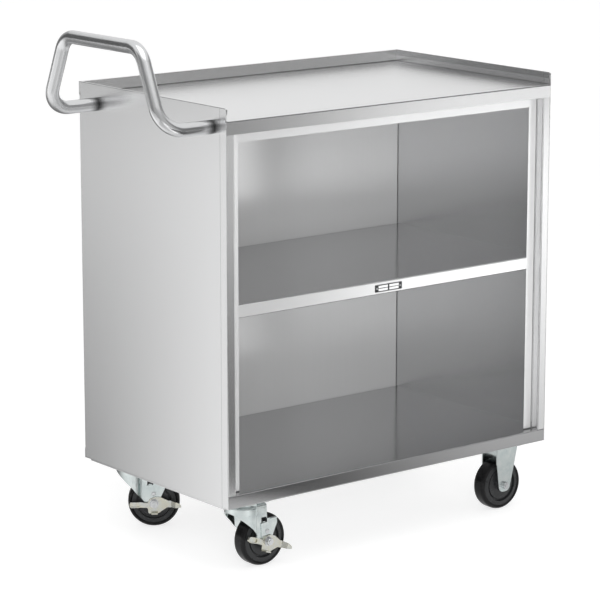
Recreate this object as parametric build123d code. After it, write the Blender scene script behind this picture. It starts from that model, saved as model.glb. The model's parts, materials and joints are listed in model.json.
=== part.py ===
from build123d import *
import math
import os

# Stainless steel utility cart: an open folded-sheet body with a railed top deck and two
# shelves, a bent tube handle at one end, two braked swivel casters and two rigid ones.
# The body is drawn about its own middle: open side at -Y, handle end at -X, floor at Z = 0.
# Every piece is exported moved along X, so that the whole cart, handle included, stands
# with its outline centred on the origin.

# Body, in mm
cart_length = 792.0
cart_depth = 466.0
rim_top = 880.0
rim_height = 24.0
rail_height = 25.0
header_height = 18.5
stile_width = 19.0
recess_depth = 18.3
inner_flange = 21.0
rear_flange = 22.0
bottom_flange = 20.0
rail_turn = 14.0
lip_turn = 10.0
middle_shelf_top = 514.5
sheet = 1.2
sheet_bend = 1.3
hem_width = 3.4
hem_depth = 12.0
hem_bend = 0.4
rim_corner = 5.0
pan_depth = 10.0
pan_edge = 7.0
shelf_flange = 20.0
deck_flange = 30.0
flange_setback = 26.0
flange_backoff = 2.0

# Stiffeners and caster channels
hat_half_width = 25.0
hat_brim = 18.0
hat_height = 20.0
channel_gauge = 3.0
channel_bend = 3.0
channel_inset = 3.0
channel_width = 132.0
channel_setback = 16.0

# Handle
tube_diameter = 25.4
tube_wall = 1.5
handle_reach = 108.0
handle_drop = 38.5
handle_rise = 105.0
handle_front_inset = 45.0
handle_back_inset = 57.0
riser_lean = 62.0
handle_low_bend = 46.0
handle_high_bend = 42.0
plug_length = 24.0
handle_bolt_reach = 18.0
washer_radius = 9.0
washer_gauge = 1.6

# Fasteners
bolt_radius = 4.0
bolt_clearance = 0.3
hex_flats = 13.0
head_height = 4.5
nut_height = 6.5
bolt_end = 1.5
chamfer_size = 0.6

# Name plate
plate_width = 66.0
plate_height = 14.0
plate_gauge = 0.8
plate_corner = 1.0
plate_rise = 12.0
plate_rivet_inset = 4.5
small_rivet_radius = 1.2
small_rivet_head = 2.0
small_rivet_dome = 0.7
small_rivet_tail = 1.0

# Caster places
swivel_inset_x = 78.5
rigid_inset_x = 75.0
caster_inset_y = 57.0
rear_swivel_turn = -36.0
front_lever_tip = 18.0

# Caster sizes
wheel_radius = 50.8
trail = 37.0
wheel_clearance = 19.1
leg_half_gap = 20.2
leg_gauge = 2.8
top_plate_length = 92.0
top_plate_width = 60.0
top_plate_gauge = 3.0
top_plate_corner = 7.0
bolt_spread_x = 73.0
bolt_spread_y = 44.5
crown_drop = 8.5
crown_radius = 36.0
crown_edge_radius = 3.5
crown_back = 12.0
crown_shoulder = 4.0
joggle_radius = 7.0
kingpin_radius = 5.5
kingpin_head_radius = 10.0
kingpin_head_height = 3.5
running_gap = 0.05
race_inner = 14.0
race_outer = 27.0
race_boss = 3.2
rigid_bend = 5.0
rigid_leg_back = 20.0
rigid_leg_front = 35.0
rigid_mid_front = 26.0
rigid_mid_drop = 40.0
rigid_end_radius = 13.0
leg_corner = 9.0

# Wheel
tyre_depth = 7.8
shoulder_drop = 4.3
tread_drop = 1.2
rim_band = 8.5
groove_width = 4.0
bearing_radius = 8.5
sleeve_radius = 6.0
hub_radius = 13.0
hub_running_gap = 1.0
disc_half_width = 12.5
groove_half_width = 8.5
rim_half_width = 15.0
core_edge_half_width = 13.0
tyre_half_width = 15.8
tread_half_width = 8.5
tongue_half_width = 5.0
tongue_height = 2.0

# Brake
brake_plate_gauge = 2.0
lever_gauge = 2.5
lever_bore_radius = 6.0
nut_flange_radius = 9.0
nut_flange_height = 1.6
tab_reach = 7.5
tongue_rim_height = 2.2
tongue_rim_width = 1.6
tongue_corner = 4.6
lever_corner = 3.0
arm_offset = 9.0
arm_bend = 6.0
lip_reach = 4.0
hook_reach = 5.5
hook_gauge = 2.4
hook_width = 7.0
notch_width = 12.0
notch_height = 12.0
brake_rivet_radius = 2.5
brake_rivet_head = 4.2
brake_rivet_dome = 1.6

# Outlines seen from the brake side: along the trail from the kingpin as shares of the trail,
# and up from the floor as shares of the wheel's radius
leg_shares = [
    (-1.10, 2.46), (-1.10, 2.20), (-0.93, 2.185), (-0.12, 1.63), (0.49, 1.04),
    (0.69, 0.745), (1.30, 0.745), (1.37, 1.22), (1.02, 1.87), (0.99, 2.46),
]
brake_plate_shares = [
    (0.60, 1.70), (0.98, 1.72), (0.98, 1.86), (1.58, 1.86), (1.63, 1.64), (1.34, 1.18), (1.24, 0.86),
    (0.76, 0.86), (0.65, 1.22),
]
plate_lip_shares = (1.16, 1.54)
notch_share = (0.82, 1.80)
brake_rivet_share = (0.99, 1.37)
# Lever outlines, as shares of the wheel's radius from the axle
lever_body_shares = [
    (-0.94, 0.05), (-0.54, 0.05), (-0.24, 0.00), (-0.17, 0.15), (0.05, 0.25), (0.28, 0.23), (0.54, 0.10),
    (0.80, 0.06), (0.80, -0.15), (0.50, -0.17), (0.18, -0.39), (-0.21, -0.41), (-0.24, -0.18),
    (-0.54, -0.17), (-0.94, -0.17),
]
tongue_shares = [(-0.94, 0.05), (-0.52, 0.05), (-0.52, -0.17), (-0.94, -0.17)]
arm_shares = (0.66, 1.07)
arm_tip_shares = [(0.60, 0.10), (0.86, 0.06), (1.02, -0.02), (1.07, -0.13), (0.94, -0.15), (0.60, -0.17)]
lever_tab_shares = (-0.10, 0.14)
# Shares of a size used for round edges, and of a hexagon's width for its corners
dome_share = 0.9
round_share = 0.99
hex_corner_share = 0.57735

# Derived
crown_under = 2 * wheel_radius + wheel_clearance
crown_top = crown_under + leg_gauge
plate_bottom = crown_top + crown_drop
channel_bottom = plate_bottom + top_plate_gauge
body_bottom = channel_bottom + channel_gauge
left = -cart_length / 2
right = -left
front = -cart_depth / 2
back = -front
inner_left = left + sheet
inner_right = -inner_left
deck_top = rim_top - rim_height
deck_under = deck_top - sheet
rail_bottom = deck_top - rail_height
header_bottom = rail_bottom - header_height
low_shelf_top = body_bottom + rail_height
low_shelf_under = low_shelf_top - sheet
pan_face = back - pan_depth
recess_face = front + recess_depth
flange_behind = recess_face + sheet
flange_edge = left + stile_width + inner_flange
lip_bottom = middle_shelf_top - rail_height
tube_radius = tube_diameter / 2
row_shift = (handle_reach + tube_radius) / 2
handle_z = rim_top - handle_drop
handle_ys = (front + handle_front_inset, back - handle_back_inset)
leg_outer = leg_half_gap + leg_gauge
axle_z = wheel_radius
core_radius = wheel_radius - tyre_depth
tyre_shoulder = wheel_radius - shoulder_drop
tread_edge_radius = wheel_radius - tread_drop
groove_outer = core_radius - rim_band
groove_inner = groove_outer - groove_width
hub_half_length = leg_half_gap - hub_running_gap
swivel_x = left + swivel_inset_x
rigid_x = right - rigid_inset_x
caster_ys = (front + caster_inset_y, back - caster_inset_y)
brake_face = leg_outer + brake_plate_gauge
lever_inner = brake_face + running_gap
lever_outer = lever_inner + lever_gauge
nut_seat = lever_outer + running_gap
hex_corner = hex_flats * hex_corner_share
plate_z = lip_bottom + plate_rise
plate_rivet_xs = [side * (plate_width / 2 - plate_rivet_inset) for side in (-1, 1)]


def folded(points, gauge, bends):
    """Cross section of a folded strip. The points run along one face, metal on their left."""
    steps = [(b[0] - a[0], b[1] - a[1]) for a, b in zip(points, points[1:])]
    ways = [(dx / math.hypot(dx, dy), dy / math.hypot(dx, dy)) for dx, dy in steps]
    turns = [a[0] * b[1] - a[1] * b[0] for a, b in zip(ways, ways[1:])]
    other = [(points[0][0] - ways[0][1] * gauge, points[0][1] + ways[0][0] * gauge)]
    for place, before, after in zip(points[1:], ways, ways[1:]):
        reach = gauge / (1 + before[0] * after[0] + before[1] * after[1])
        other.append((place[0] - reach * (before[1] + after[1]),
                      place[1] + reach * (before[0] + after[0])))
    other.append((points[-1][0] - ways[-1][1] * gauge, points[-1][1] + ways[-1][0] * gauge))
    near = [b + gauge if turn > 0 else b for b, turn in zip(bends, turns)]
    far = [b if turn > 0 else b + gauge for b, turn in zip(bends, turns)]
    face_side = FilletPolyline(*points, radius=near)
    other_side = FilletPolyline(*other, radius=far)
    ends = [Line(points[0], other[0]), Line(points[-1], other[-1])]
    return make_face([*face_side.edges(), *other_side.edges(), *ends])


def sheet_fold(points):
    """Cross section of a strip of the body's sheet, every bend alike."""
    return folded(points, sheet, [sheet_bend] * (len(points) - 2))


def outline(points, radii):
    """Closed outline with rounded corners."""
    return make_face(FilletPolyline(*points, radius=radii, close=True).edges())


def along_x(section, start, end):
    return extrude(Plane.YZ.offset(start) * section, amount=end - start)


def along_y(section, start, end):
    return extrude(Plane.XZ.offset(-end) * section, amount=end - start)


def along_z(section, start, end):
    return extrude(Plane.XY.offset(start) * section, amount=end - start)


def block(x0, x1, y0, y1, z0, z1):
    """Box between two corners."""
    middle = ((x0 + x1) / 2, (y0 + y1) / 2, (z0 + z1) / 2)
    return Pos(*middle) * Box(x1 - x0, y1 - y0, z1 - z0)


def upright(radius, x, y, z0, z1):
    """Cylinder standing along Z."""
    return Pos(x, y, (z0 + z1) / 2) * Cylinder(radius, z1 - z0)


def across(radius, x, z, y0, y1):
    """Cylinder lying along Y."""
    return Pos(x, (y0 + y1) / 2, z) * Rot(90, 0, 0) * Cylinder(radius, y1 - y0)


def lengthwise(radius, x0, x1, y, z):
    """Cylinder lying along X."""
    return Pos((x0 + x1) / 2, y, z) * Rot(0, 90, 0) * Cylinder(radius, x1 - x0)


def hexagon(height):
    """Hexagonal prism on Z = 0 with its outer corners chamfered as one turned cone."""
    prism = extrude(RegularPolygon(hex_corner, 6), amount=height)
    turned = Pos(0, 0, height / 2) * Cylinder(hex_corner, height)
    return prism & chamfer(turned.edges().filter_by(GeomType.CIRCLE).sort_by(Axis.Z)[-1], chamfer_size)


def save(name, shape):
    """Write one node, moved into the shared frame."""
    pieces = shape if isinstance(shape, list) else [shape]
    moved = [Pos(row_shift, 0, 0) * piece for piece in pieces]
    solids = [solid for piece in moved for solid in piece.solids()]
    export_step(Compound(children=solids) if len(solids) > 1 else solids[0], f"parts/{name}.step")


def side_panel():
    """Handle-end side: outer web, stepped front edge, rear and bottom flanges, hemmed rim."""
    web_path = [(left + rear_flange, back), (left, back), (left, front)]
    step_path = [(left + stile_width, front), (left + stile_width, recess_face), (flange_edge, recess_face)]
    web = along_z(sheet_fold(web_path), body_bottom + bottom_flange, deck_under)
    face = along_z(sheet_fold(web_path + step_path), low_shelf_top, rail_bottom)
    foot_path = [(left, body_bottom + bottom_flange), (left, body_bottom),
                 (left + bottom_flange, body_bottom)]
    foot = along_y(sheet_fold(foot_path), front, back)
    foot_keep = block(left, left + bottom_flange, front + rail_turn + sheet, pan_face - sheet,
                      body_bottom, body_bottom + bottom_flange)
    web_keep = block(left, inner_left, front, back, body_bottom, body_bottom + bottom_flange)
    tail = block(left, left + rear_flange, back - sheet, back, body_bottom, body_bottom + bottom_flange)
    hem_path = [(left + hem_width, rim_top - hem_depth), (left + hem_width, rim_top), (left, rim_top),
                (left, deck_under)]
    hem = along_y(folded(hem_path, sheet, [hem_bend, hem_bend]), front, back - hem_width)
    rim = hem + block(left, inner_left, back - hem_width, back, deck_under, rim_top)
    corners = [(front, deck_under), (front, rim_top), (back, rim_top), (back, deck_under)]
    rim = rim & along_x(outline(corners, [0, rim_corner, 0, 0]), left, left + hem_width)
    panel = web + face + (foot & (foot_keep + web_keep)) + tail + rim
    holes = [lengthwise(bolt_radius + bolt_clearance, left - sheet, left + rear_flange, y, handle_z)
             for y in handle_ys]
    return panel, panel - holes


def back_pan():
    """Closed back: a shallow pan with all four edges turned to the rear."""
    rear = pan_face + pan_edge
    pan_path = [(inner_left, rear), (inner_left, pan_face), (inner_right, pan_face), (inner_right, rear)]
    pan = along_z(sheet_fold(pan_path), body_bottom, deck_under)
    low = block(inner_left, inner_right, pan_face, rear, body_bottom, body_bottom + sheet)
    high = block(inner_left, inner_right, pan_face, rear, deck_under - sheet, deck_under)
    return pan + low + high


def deck():
    """Railed top deck: rear upstand with hem, front rail, its return and the header flange."""
    hem_inner = back - hem_width + sheet
    rear_path = [(hem_inner, rim_top - hem_depth), (hem_inner, rim_top - sheet),
                 (back - sheet, rim_top - sheet), (back - sheet, deck_top)]
    front_path = [(front, deck_top), (front, rail_bottom)]
    return_path = [(flange_behind, rail_bottom)]
    header_path = [(recess_face, rail_bottom), (recess_face, header_bottom)]
    bends = [hem_bend, hem_bend, sheet_bend, sheet_bend]
    wide = along_x(folded(rear_path + front_path, sheet, bends), inner_left, inner_right)
    middle = along_x(sheet_fold([(0, deck_top)] + front_path + return_path),
                     left + stile_width, right - stile_width)
    header = along_x(sheet_fold([(0, deck_top)] + front_path + header_path), flange_edge, -flange_edge)
    keep = block(flange_edge, -flange_edge, front, recess_face + sheet + sheet_bend,
                 header_bottom, deck_top)
    corner = block(flange_edge, -flange_edge, recess_face, flange_behind, rail_bottom, rail_bottom + sheet)
    body = wide + (middle - corner) + (header & keep) + side_flanges(deck_top, deck_flange)
    holes = [lengthwise(bolt_radius + bolt_clearance, left, left + rear_flange, y, handle_z)
             for y in handle_ys]
    return body - holes


def side_flanges(top, height):
    """Turned-down edges of a shelf, one against each side panel."""
    ends = [(inner_left, inner_left + sheet), (inner_right - sheet, inner_right)]
    return [block(x0, x1, front + flange_setback, pan_face - flange_backoff, top - height, top - sheet / 2)
            for x0, x1 in ends]


def middle_shelf():
    """Middle shelf: front lip level with the stepped flanges, corners notched round them."""
    rear_path = [(pan_face, middle_shelf_top - shelf_flange), (pan_face, middle_shelf_top)]
    lip_path = [(recess_face, middle_shelf_top), (recess_face, lip_bottom),
                (recess_face + lip_turn, lip_bottom)]
    lipped = along_x(sheet_fold(rear_path + lip_path), flange_edge, -flange_edge)
    plain = along_x(sheet_fold(rear_path + [(flange_behind, middle_shelf_top)]), inner_left, inner_right)
    body = lipped + plain + side_flanges(middle_shelf_top, shelf_flange)
    holes = [across(small_rivet_radius, x, plate_z, recess_face - sheet, flange_behind + sheet)
             for x in plate_rivet_xs]
    return body - holes


def low_shelf():
    """Bottom shelf: runs out to the front face and turns down as the bottom rail."""
    path = [(pan_face, low_shelf_top - shelf_flange), (pan_face, low_shelf_top), (front, low_shelf_top),
            (front, body_bottom), (front + rail_turn, body_bottom)]
    shelf = along_x(sheet_fold(path), inner_left, inner_right)
    return shelf + side_flanges(low_shelf_top, shelf_flange)


def hat(under, x0, x1):
    """Hat-section stiffener welded under a shelf."""
    brim = under - sheet
    low = under - hat_height
    path = [(-hat_half_width - hat_brim, brim), (-hat_half_width, brim), (-hat_half_width, low),
            (hat_half_width, low), (hat_half_width, brim), (hat_half_width + hat_brim, brim)]
    return along_x(sheet_fold(path), x0, x1)


def caster_holes(x, radius, z0, z1):
    """Four bolt holes at each of an end's two casters."""
    spread = [(sx * bolt_spread_x / 2, sy * bolt_spread_y / 2) for sx in (-1, 1) for sy in (-1, 1)]
    return [upright(radius, x + dx, y + dy, z0, z1) for y in caster_ys for dx, dy in spread]


def caster_channel(x0, x1, caster_x):
    """Angle under the bottom shelf that the casters of one end are bolted to."""
    path = [(x0, channel_bottom), (x1, channel_bottom), (x1, low_shelf_under)]
    angle = along_y(folded(path, channel_gauge, [channel_bend]),
                    front + channel_setback, back - channel_setback)
    return angle - caster_holes(caster_x, bolt_radius + bolt_clearance, channel_bottom, body_bottom)


def handle_path():
    """Centre line of the handle tube, from one end on the panel to the other."""
    out = left - handle_reach
    top = rim_top + handle_rise
    y0, y1 = handle_ys
    return FilletPolyline(
        (left, y0, handle_z), (out, y0, handle_z), (out, y0 + riser_lean, top),
        (out, y1 - riser_lean, top), (out, y1, handle_z), (left, y1, handle_z),
        radius=[handle_low_bend, handle_high_bend, handle_high_bend, handle_low_bend])


def handle_tube():
    """Bent round tube, butted against the outside of the panel."""
    path = handle_path().wire()
    start = Plane(origin=path @ 0, z_dir=path % 0)
    outer = sweep(start * Circle(tube_radius), path=path)
    inner = sweep(start * Circle(tube_radius - tube_wall), path=path)
    return outer - inner


def handle_fixings():
    """Threaded plugs in the tube's ends, and the bolts and washers on the inside."""
    inside = inner_left + sheet
    seat = inside + washer_gauge
    turn = Rot(0, 90, 0)
    plugs = []
    bolts = []
    washers = []
    for y in handle_ys:
        plug = lengthwise(tube_radius - tube_wall, left - plug_length, left, y, handle_z)
        plugs.append(plug - lengthwise(bolt_radius, left - plug_length, left, y, handle_z))
        head = Pos(seat, y, handle_z) * turn * hexagon(head_height)
        bolts.append(head + lengthwise(bolt_radius, left - handle_bolt_reach, seat, y, handle_z))
        disc = lengthwise(washer_radius, inside, seat, y, handle_z)
        washers.append(disc - lengthwise(bolt_radius + bolt_clearance, inside, seat, y, handle_z))
    return plugs, bolts, washers


def name_plate():
    """Plain name plate and the two rivets that hold it on the middle shelf's lip."""
    face = recess_face - plate_gauge
    shape = Pos(0, plate_z) * RectangleRounded(plate_width, plate_height, plate_corner)
    holes = [across(small_rivet_radius, x, plate_z, face, recess_face) for x in plate_rivet_xs]
    plate = along_y(shape, face, recess_face) - holes
    rivets = []
    for x in plate_rivet_xs:
        head = across(small_rivet_head, x, plate_z, face - small_rivet_dome, face)
        rim = head.edges().filter_by(GeomType.CIRCLE).sort_by(Axis.Y)[0]
        head = fillet(rim, small_rivet_dome * dome_share)
        shank = across(small_rivet_radius, x, plate_z, face, flange_behind)
        tail = across(small_rivet_head, x, plate_z, flange_behind, flange_behind + small_rivet_tail)
        rivets.append(head + shank + tail)
    return plate, rivets


def caster_bolts():
    """Bolts up through caster plate and channel, with their nuts on top."""
    bolts = []
    nuts = []
    spread = [(sx * bolt_spread_x / 2, sy * bolt_spread_y / 2) for sx in (-1, 1) for sy in (-1, 1)]
    for x in (swivel_x, rigid_x):
        for y in caster_ys:
            for dx, dy in spread:
                place = Pos(x + dx, y + dy, 0)
                head = Pos(0, 0, plate_bottom) * Rot(180, 0, 0) * hexagon(head_height)
                shank = upright(bolt_radius, 0, 0, plate_bottom, body_bottom + nut_height + bolt_end)
                bolts.append(place * (head + shank))
                nut = Pos(0, 0, body_bottom) * hexagon(nut_height)
                bore = upright(bolt_radius, 0, 0, body_bottom, body_bottom + nut_height)
                nuts.append(place * (nut - bore))
    return bolts, nuts


def top_plate():
    """Caster top plate about its own middle, with its four holes."""
    shape = RectangleRounded(top_plate_length, top_plate_width, top_plate_corner)
    plate = along_z(shape, plate_bottom, channel_bottom)
    holes = [upright(bolt_radius + bolt_clearance, sx * bolt_spread_x / 2, sy * bolt_spread_y / 2,
                     plate_bottom, channel_bottom) for sx in (-1, 1) for sy in (-1, 1)]
    return plate - holes


def raceway(z0, z1):
    """Flat ring that the swivel's thrust washer runs on."""
    return upright(race_outer, 0, 0, z0, z1) - upright(race_inner, 0, 0, z0, z1)


def swivel_top_plate():
    """Top plate of a swivel caster: raceway below, kingpin hole in the middle."""
    plate = top_plate() + raceway(plate_bottom - race_boss, plate_bottom)
    return plate - upright(kingpin_radius, 0, 0, plate_bottom, channel_bottom)


def kingpin():
    """Riveted kingpin, its head under the crown."""
    head_top = crown_under - running_gap
    head = upright(kingpin_head_radius, 0, 0, head_top - kingpin_head_height, head_top)
    rim = head.edges().filter_by(GeomType.CIRCLE).sort_by(Axis.Z)[0]
    head = fillet(rim, kingpin_head_height * dome_share)
    return head + upright(kingpin_radius, 0, 0, head_top, channel_bottom)


def yoke_plan(inset):
    """Plan of the stamped swivel fork: round crown stepping in to two flat legs."""
    wide = crown_radius - inset
    narrow = leg_outer - inset
    long = crown_radius * 2
    points = [(long, -narrow), (crown_back, -narrow), (crown_shoulder, -wide), (-wide, -wide),
              (-wide, wide), (crown_shoulder, wide), (crown_back, narrow), (long, narrow)]
    end = wide * round_share
    bend_in = joggle_radius + inset
    bend_out = joggle_radius - inset
    return outline(points, [0, bend_in, bend_out, end, end, bend_out, bend_in, 0])


def from_shares(*shares):
    """Points in mm of shares along the trail and up from the floor."""
    return [(u * trail, w * wheel_radius) for u, w in shares]


def from_axle(*shares):
    """Points in mm of shares of the wheel's radius, from the axle."""
    return [(u * wheel_radius, w * wheel_radius) for u, w in shares]


def swivel_fork():
    """Swivel fork about its kingpin, legs trailing along +X, brake side at -Y."""
    shell = along_z(yoke_plan(0), 0, crown_top)
    shell = fillet(shell.edges().group_by(Axis.Z)[-1], crown_edge_radius)
    shell -= along_z(yoke_plan(leg_gauge), 0, crown_under)
    radii = [0, 0, 0, leg_corner, leg_corner, leg_corner, leg_corner, leg_corner, leg_corner, 0]
    shell &= along_y(outline(from_shares(*leg_shares), radii), -crown_radius, crown_radius)
    race_top = crown_top + race_boss
    shell += raceway(crown_top - crown_edge_radius / 2, race_top)
    hole = upright(kingpin_radius + running_gap, 0, 0, crown_under, race_top)
    axle = across(bolt_radius, trail, axle_z, -leg_outer, leg_outer)
    u, w = from_shares(notch_share)[0]
    notch = block(u - notch_width / 2, u + notch_width / 2, -leg_outer, -leg_half_gap,
                  w - notch_height / 2, w + notch_height / 2)
    ru, rw = from_shares(brake_rivet_share)[0]
    rivet = across(brake_rivet_radius, ru, rw, -leg_outer, -leg_half_gap)
    return shell - [hole, axle, notch, rivet]


def thrust_washer():
    """Plain washer between the two raceways."""
    low = crown_top + race_boss
    high = plate_bottom - race_boss - running_gap
    return upright(race_outer, 0, 0, low, high) - upright(race_inner, 0, 0, low, high)


def brake_plate():
    """Brake plate riveted to the leg: a hook through the leg's notch and a lip turned outward."""
    small = lever_corner / 2
    radii = [small, small, small, lever_corner, leg_corner, leg_corner, leg_corner, leg_corner, leg_corner]
    plate = along_y(outline(from_shares(*brake_plate_shares), radii), -brake_face, -leg_outer)
    u, w = from_shares(notch_share)[0]
    hook_low = w - notch_height / 2 + hook_gauge / 2
    hook = block(u - hook_width / 2, u + hook_width / 2, -leg_outer, -leg_outer + hook_reach,
                 hook_low, hook_low + hook_gauge)
    top = max(w for u, w in brake_plate_shares) * wheel_radius
    x0, x1 = [share * trail for share in plate_lip_shares]
    lip = block(x0, x1, -brake_face - lip_reach, -leg_outer, top - brake_plate_gauge, top)
    ru, rw = from_shares(brake_rivet_share)[0]
    holes = [across(bolt_radius, trail, axle_z, -brake_face, -leg_outer),
             across(brake_rivet_radius, ru, rw, -brake_face, -leg_outer)]
    return plate + hook + lip - holes


def brake_rivet():
    """Rivet through brake plate and leg."""
    u, w = from_shares(brake_rivet_share)[0]
    head = across(brake_rivet_head, u, w, -brake_face - brake_rivet_dome, -brake_face)
    head = fillet(head.edges().filter_by(GeomType.CIRCLE).sort_by(Axis.Y)[0], brake_rivet_dome * dome_share)
    tail = across(brake_rivet_head, u, w, -leg_half_gap, -leg_half_gap + brake_rivet_dome)
    return head + across(brake_rivet_radius, u, w, -brake_face, -leg_half_gap) + tail


def tongue_rim():
    """Pressed rim standing out round the lever's rounded foot tongue."""
    x0, z1 = from_axle(tongue_shares[0])[0]
    x1, z0 = from_axle(tongue_shares[2])[0]
    face = -lever_outer - tongue_rim_height
    whole = outline(from_axle(*tongue_shares), [tongue_corner] * 4)
    inner = [(x0 + tongue_rim_width, z1 - tongue_rim_width), (x1 - tongue_rim_width, z1 - tongue_rim_width),
             (x1 - tongue_rim_width, z0 + tongue_rim_width), (x0 + tongue_rim_width, z0 + tongue_rim_width)]
    hollow = outline(inner, [tongue_corner - tongue_rim_width] * 4)
    return along_y(whole, face, -lever_outer) - along_y(hollow, face, -lever_outer)


def release_arm():
    """The lever's other arm, stepped outward and tapering to a turned-down tip."""
    x0, x1 = [share * wheel_radius for share in arm_shares]
    foot = x0 - arm_bend
    path = [(foot, -lever_outer), (x0, -lever_outer), (x0 + arm_offset, -lever_outer - arm_offset),
            (x1, -lever_outer - arm_offset)]
    points = from_axle(*arm_tip_shares)
    low = min(w for u, w in points)
    high = max(w for u, w in points)
    strip = along_z(folded(path, lever_gauge, [lever_gauge / 2, lever_gauge / 2]), low, high)
    radii = [0, arm_bend, arm_bend, lever_corner / 2, arm_bend, 0]
    return strip & along_y(outline(points, radii), -lever_outer - arm_offset, -lever_inner)


def brake_lever():
    """Rocking brake lever about the axle: rimmed tongue, body with a lower tab, and a stepped arm."""
    small = lever_corner
    radii = [tongue_corner] + [small] * (len(lever_body_shares) - 2) + [tongue_corner]
    body = along_y(outline(from_axle(*lever_body_shares), radii), -lever_outer, -lever_inner)
    x0, x1 = [share * wheel_radius for share in lever_tab_shares]
    low = min(w for u, w in lever_body_shares) * wheel_radius
    tab = block(x0, x1, -lever_outer - tab_reach, -lever_inner, low, low + lever_gauge)
    lever = body + tongue_rim() + release_arm() + tab
    return lever - across(lever_bore_radius + running_gap, 0, 0, -lever_outer, -lever_inner)


def axle_bolt(nut_face):
    """Axle bolt: head on the inner side, thread out past its nut."""
    head = Pos(trail, leg_outer, axle_z) * Rot(-90, 0, 0) * hexagon(head_height)
    return head + across(bolt_radius, trail, axle_z, -nut_face - bolt_end, leg_outer)


def brake_nut():
    """Flanged nut whose boss carries the lever and clamps the brake plate."""
    flange_end = nut_seat + nut_flange_height
    boss = across(lever_bore_radius, trail, axle_z, -nut_seat, -brake_face)
    flange = across(nut_flange_radius, trail, axle_z, -flange_end, -nut_seat)
    cap = Pos(trail, -flange_end, axle_z) * Rot(90, 0, 0) * hexagon(nut_height)
    return boss + flange + cap - across(bolt_radius, trail, axle_z, -flange_end - nut_height, -brake_face)


def axle_sleeve():
    """Spanner sleeve clamped between the legs."""
    tube = across(sleeve_radius, trail, axle_z, -leg_half_gap, leg_half_gap)
    return tube - across(bolt_radius, trail, axle_z, -leg_half_gap, leg_half_gap)


def turned(points):
    """Solid turned about the wheel's axle. Points are radius and place across the wheel."""
    shape = make_face(Polyline(*points, close=True).edges())
    return Pos(trail, 0, axle_z) * Rot(-90, 0, 0) * revolve(Plane.XZ * shape, Axis.Z)


def mirrored(half):
    """Whole outline of a turned piece from its half on one side of the wheel."""
    return half + [(radius, -across_by) for radius, across_by in reversed(half)]


def wheel_core():
    """Moulded core: hub, disc, ring groove, bevelled rim and the tongue under the tyre."""
    half = [(bearing_radius, hub_half_length), (hub_radius, hub_half_length), (hub_radius, disc_half_width),
            (groove_inner, disc_half_width), (groove_inner, groove_half_width),
            (groove_outer, groove_half_width), (groove_outer, rim_half_width),
            (core_radius, core_edge_half_width), (core_radius, tongue_half_width),
            (core_radius + tongue_height, tongue_half_width)]
    return turned(mirrored(half))


def tyre():
    """Rubber tyre moulded over the core's tongue."""
    half = [(core_radius, core_edge_half_width), (tyre_shoulder, tyre_half_width),
            (tread_edge_radius, (tyre_half_width + tread_half_width) / 2), (wheel_radius, tread_half_width)]
    inner = [(core_radius + tongue_height, -tongue_half_width), (core_radius, -tongue_half_width)]
    groove = inner + [(core_radius, tongue_half_width), (core_radius + tongue_height, tongue_half_width)]
    outer = mirrored(half)
    return turned(outer + [groove[1], groove[0], groove[3], groove[2]])


def wheel_bearing():
    """Plain bearing pressed in the core, running on the sleeve."""
    end = leg_half_gap - running_gap
    half = [(sleeve_radius + running_gap, end), (bearing_radius, end)]
    return turned(mirrored(half))


def rigid_fork():
    """Rigid fork about the plate's middle: one strip bent to a crown and two tapered legs."""
    crown = plate_bottom
    path = [(leg_outer, 0), (leg_outer, crown), (-leg_outer, crown), (-leg_outer, 0)]
    strip = along_x(folded(path, leg_gauge, [rigid_bend - leg_gauge] * 2), -rigid_leg_back, rigid_leg_front)
    low = axle_z - rigid_end_radius
    points = [(-rigid_leg_back, crown), (-rigid_leg_back, axle_z + rigid_mid_drop),
              (-rigid_end_radius, low),
              (rigid_end_radius, low), (rigid_mid_front, crown - rigid_mid_drop), (rigid_leg_front, crown)]
    end = rigid_end_radius * round_share
    leg = along_y(outline(points, [0, leg_corner, end * dome_share, end * dome_share, leg_corner, 0]),
                  -leg_outer, leg_outer)
    relief = [upright(hex_corner + chamfer_size, sx * bolt_spread_x / 2, sy * bolt_spread_y / 2,
                      crown - head_height - chamfer_size, crown) for sx in (-1, 1) for sy in (-1, 1)]
    return (strip & leg) - [across(bolt_radius, 0, axle_z, -leg_outer, leg_outer), *relief]


def rigid_nut():
    """Lock nut on a rigid caster's axle bolt."""
    cap = Pos(trail, -leg_outer, axle_z) * Rot(90, 0, 0) * hexagon(nut_height)
    return cap - across(bolt_radius, trail, axle_z, -leg_outer - nut_height, -leg_outer)


os.makedirs("parts", exist_ok=True)
plain_panel, drilled_panel = side_panel()
save("left_side_panel", drilled_panel)
save("right_side_panel", mirror(plain_panel, about=Plane.YZ))
save("back_panel", back_pan())
save("top_deck", deck())
save("middle_shelf", middle_shelf())
save("bottom_shelf", low_shelf())
hat_end = inner_right - sheet
shelf_unders = (deck_under, middle_shelf_top - sheet)
save("shelf_stiffeners", [hat(under, -hat_end, hat_end) for under in shelf_unders])
channel_edge = left + channel_inset + channel_width
save("bottom_stiffener", hat(low_shelf_under, channel_edge, -channel_edge))
left_channel = caster_channel(left + channel_inset, channel_edge, swivel_x)
right_channel = mirror(caster_channel(left + channel_inset, channel_edge, -rigid_x), about=Plane.YZ)
save("caster_channels", [left_channel, right_channel])
save("handle_tube", handle_tube())
plugs, handle_bolts, washers = handle_fixings()
save("handle_plugs", plugs)
save("handle_bolts", handle_bolts)
save("handle_washers", washers)
plate, plate_rivets = name_plate()
save("name_plate", plate)
save("name_plate_rivets", plate_rivets)
mount_bolts, mount_nuts = caster_bolts()
save("caster_mount_bolts", mount_bolts)
save("caster_mount_nuts", mount_nuts)

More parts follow.
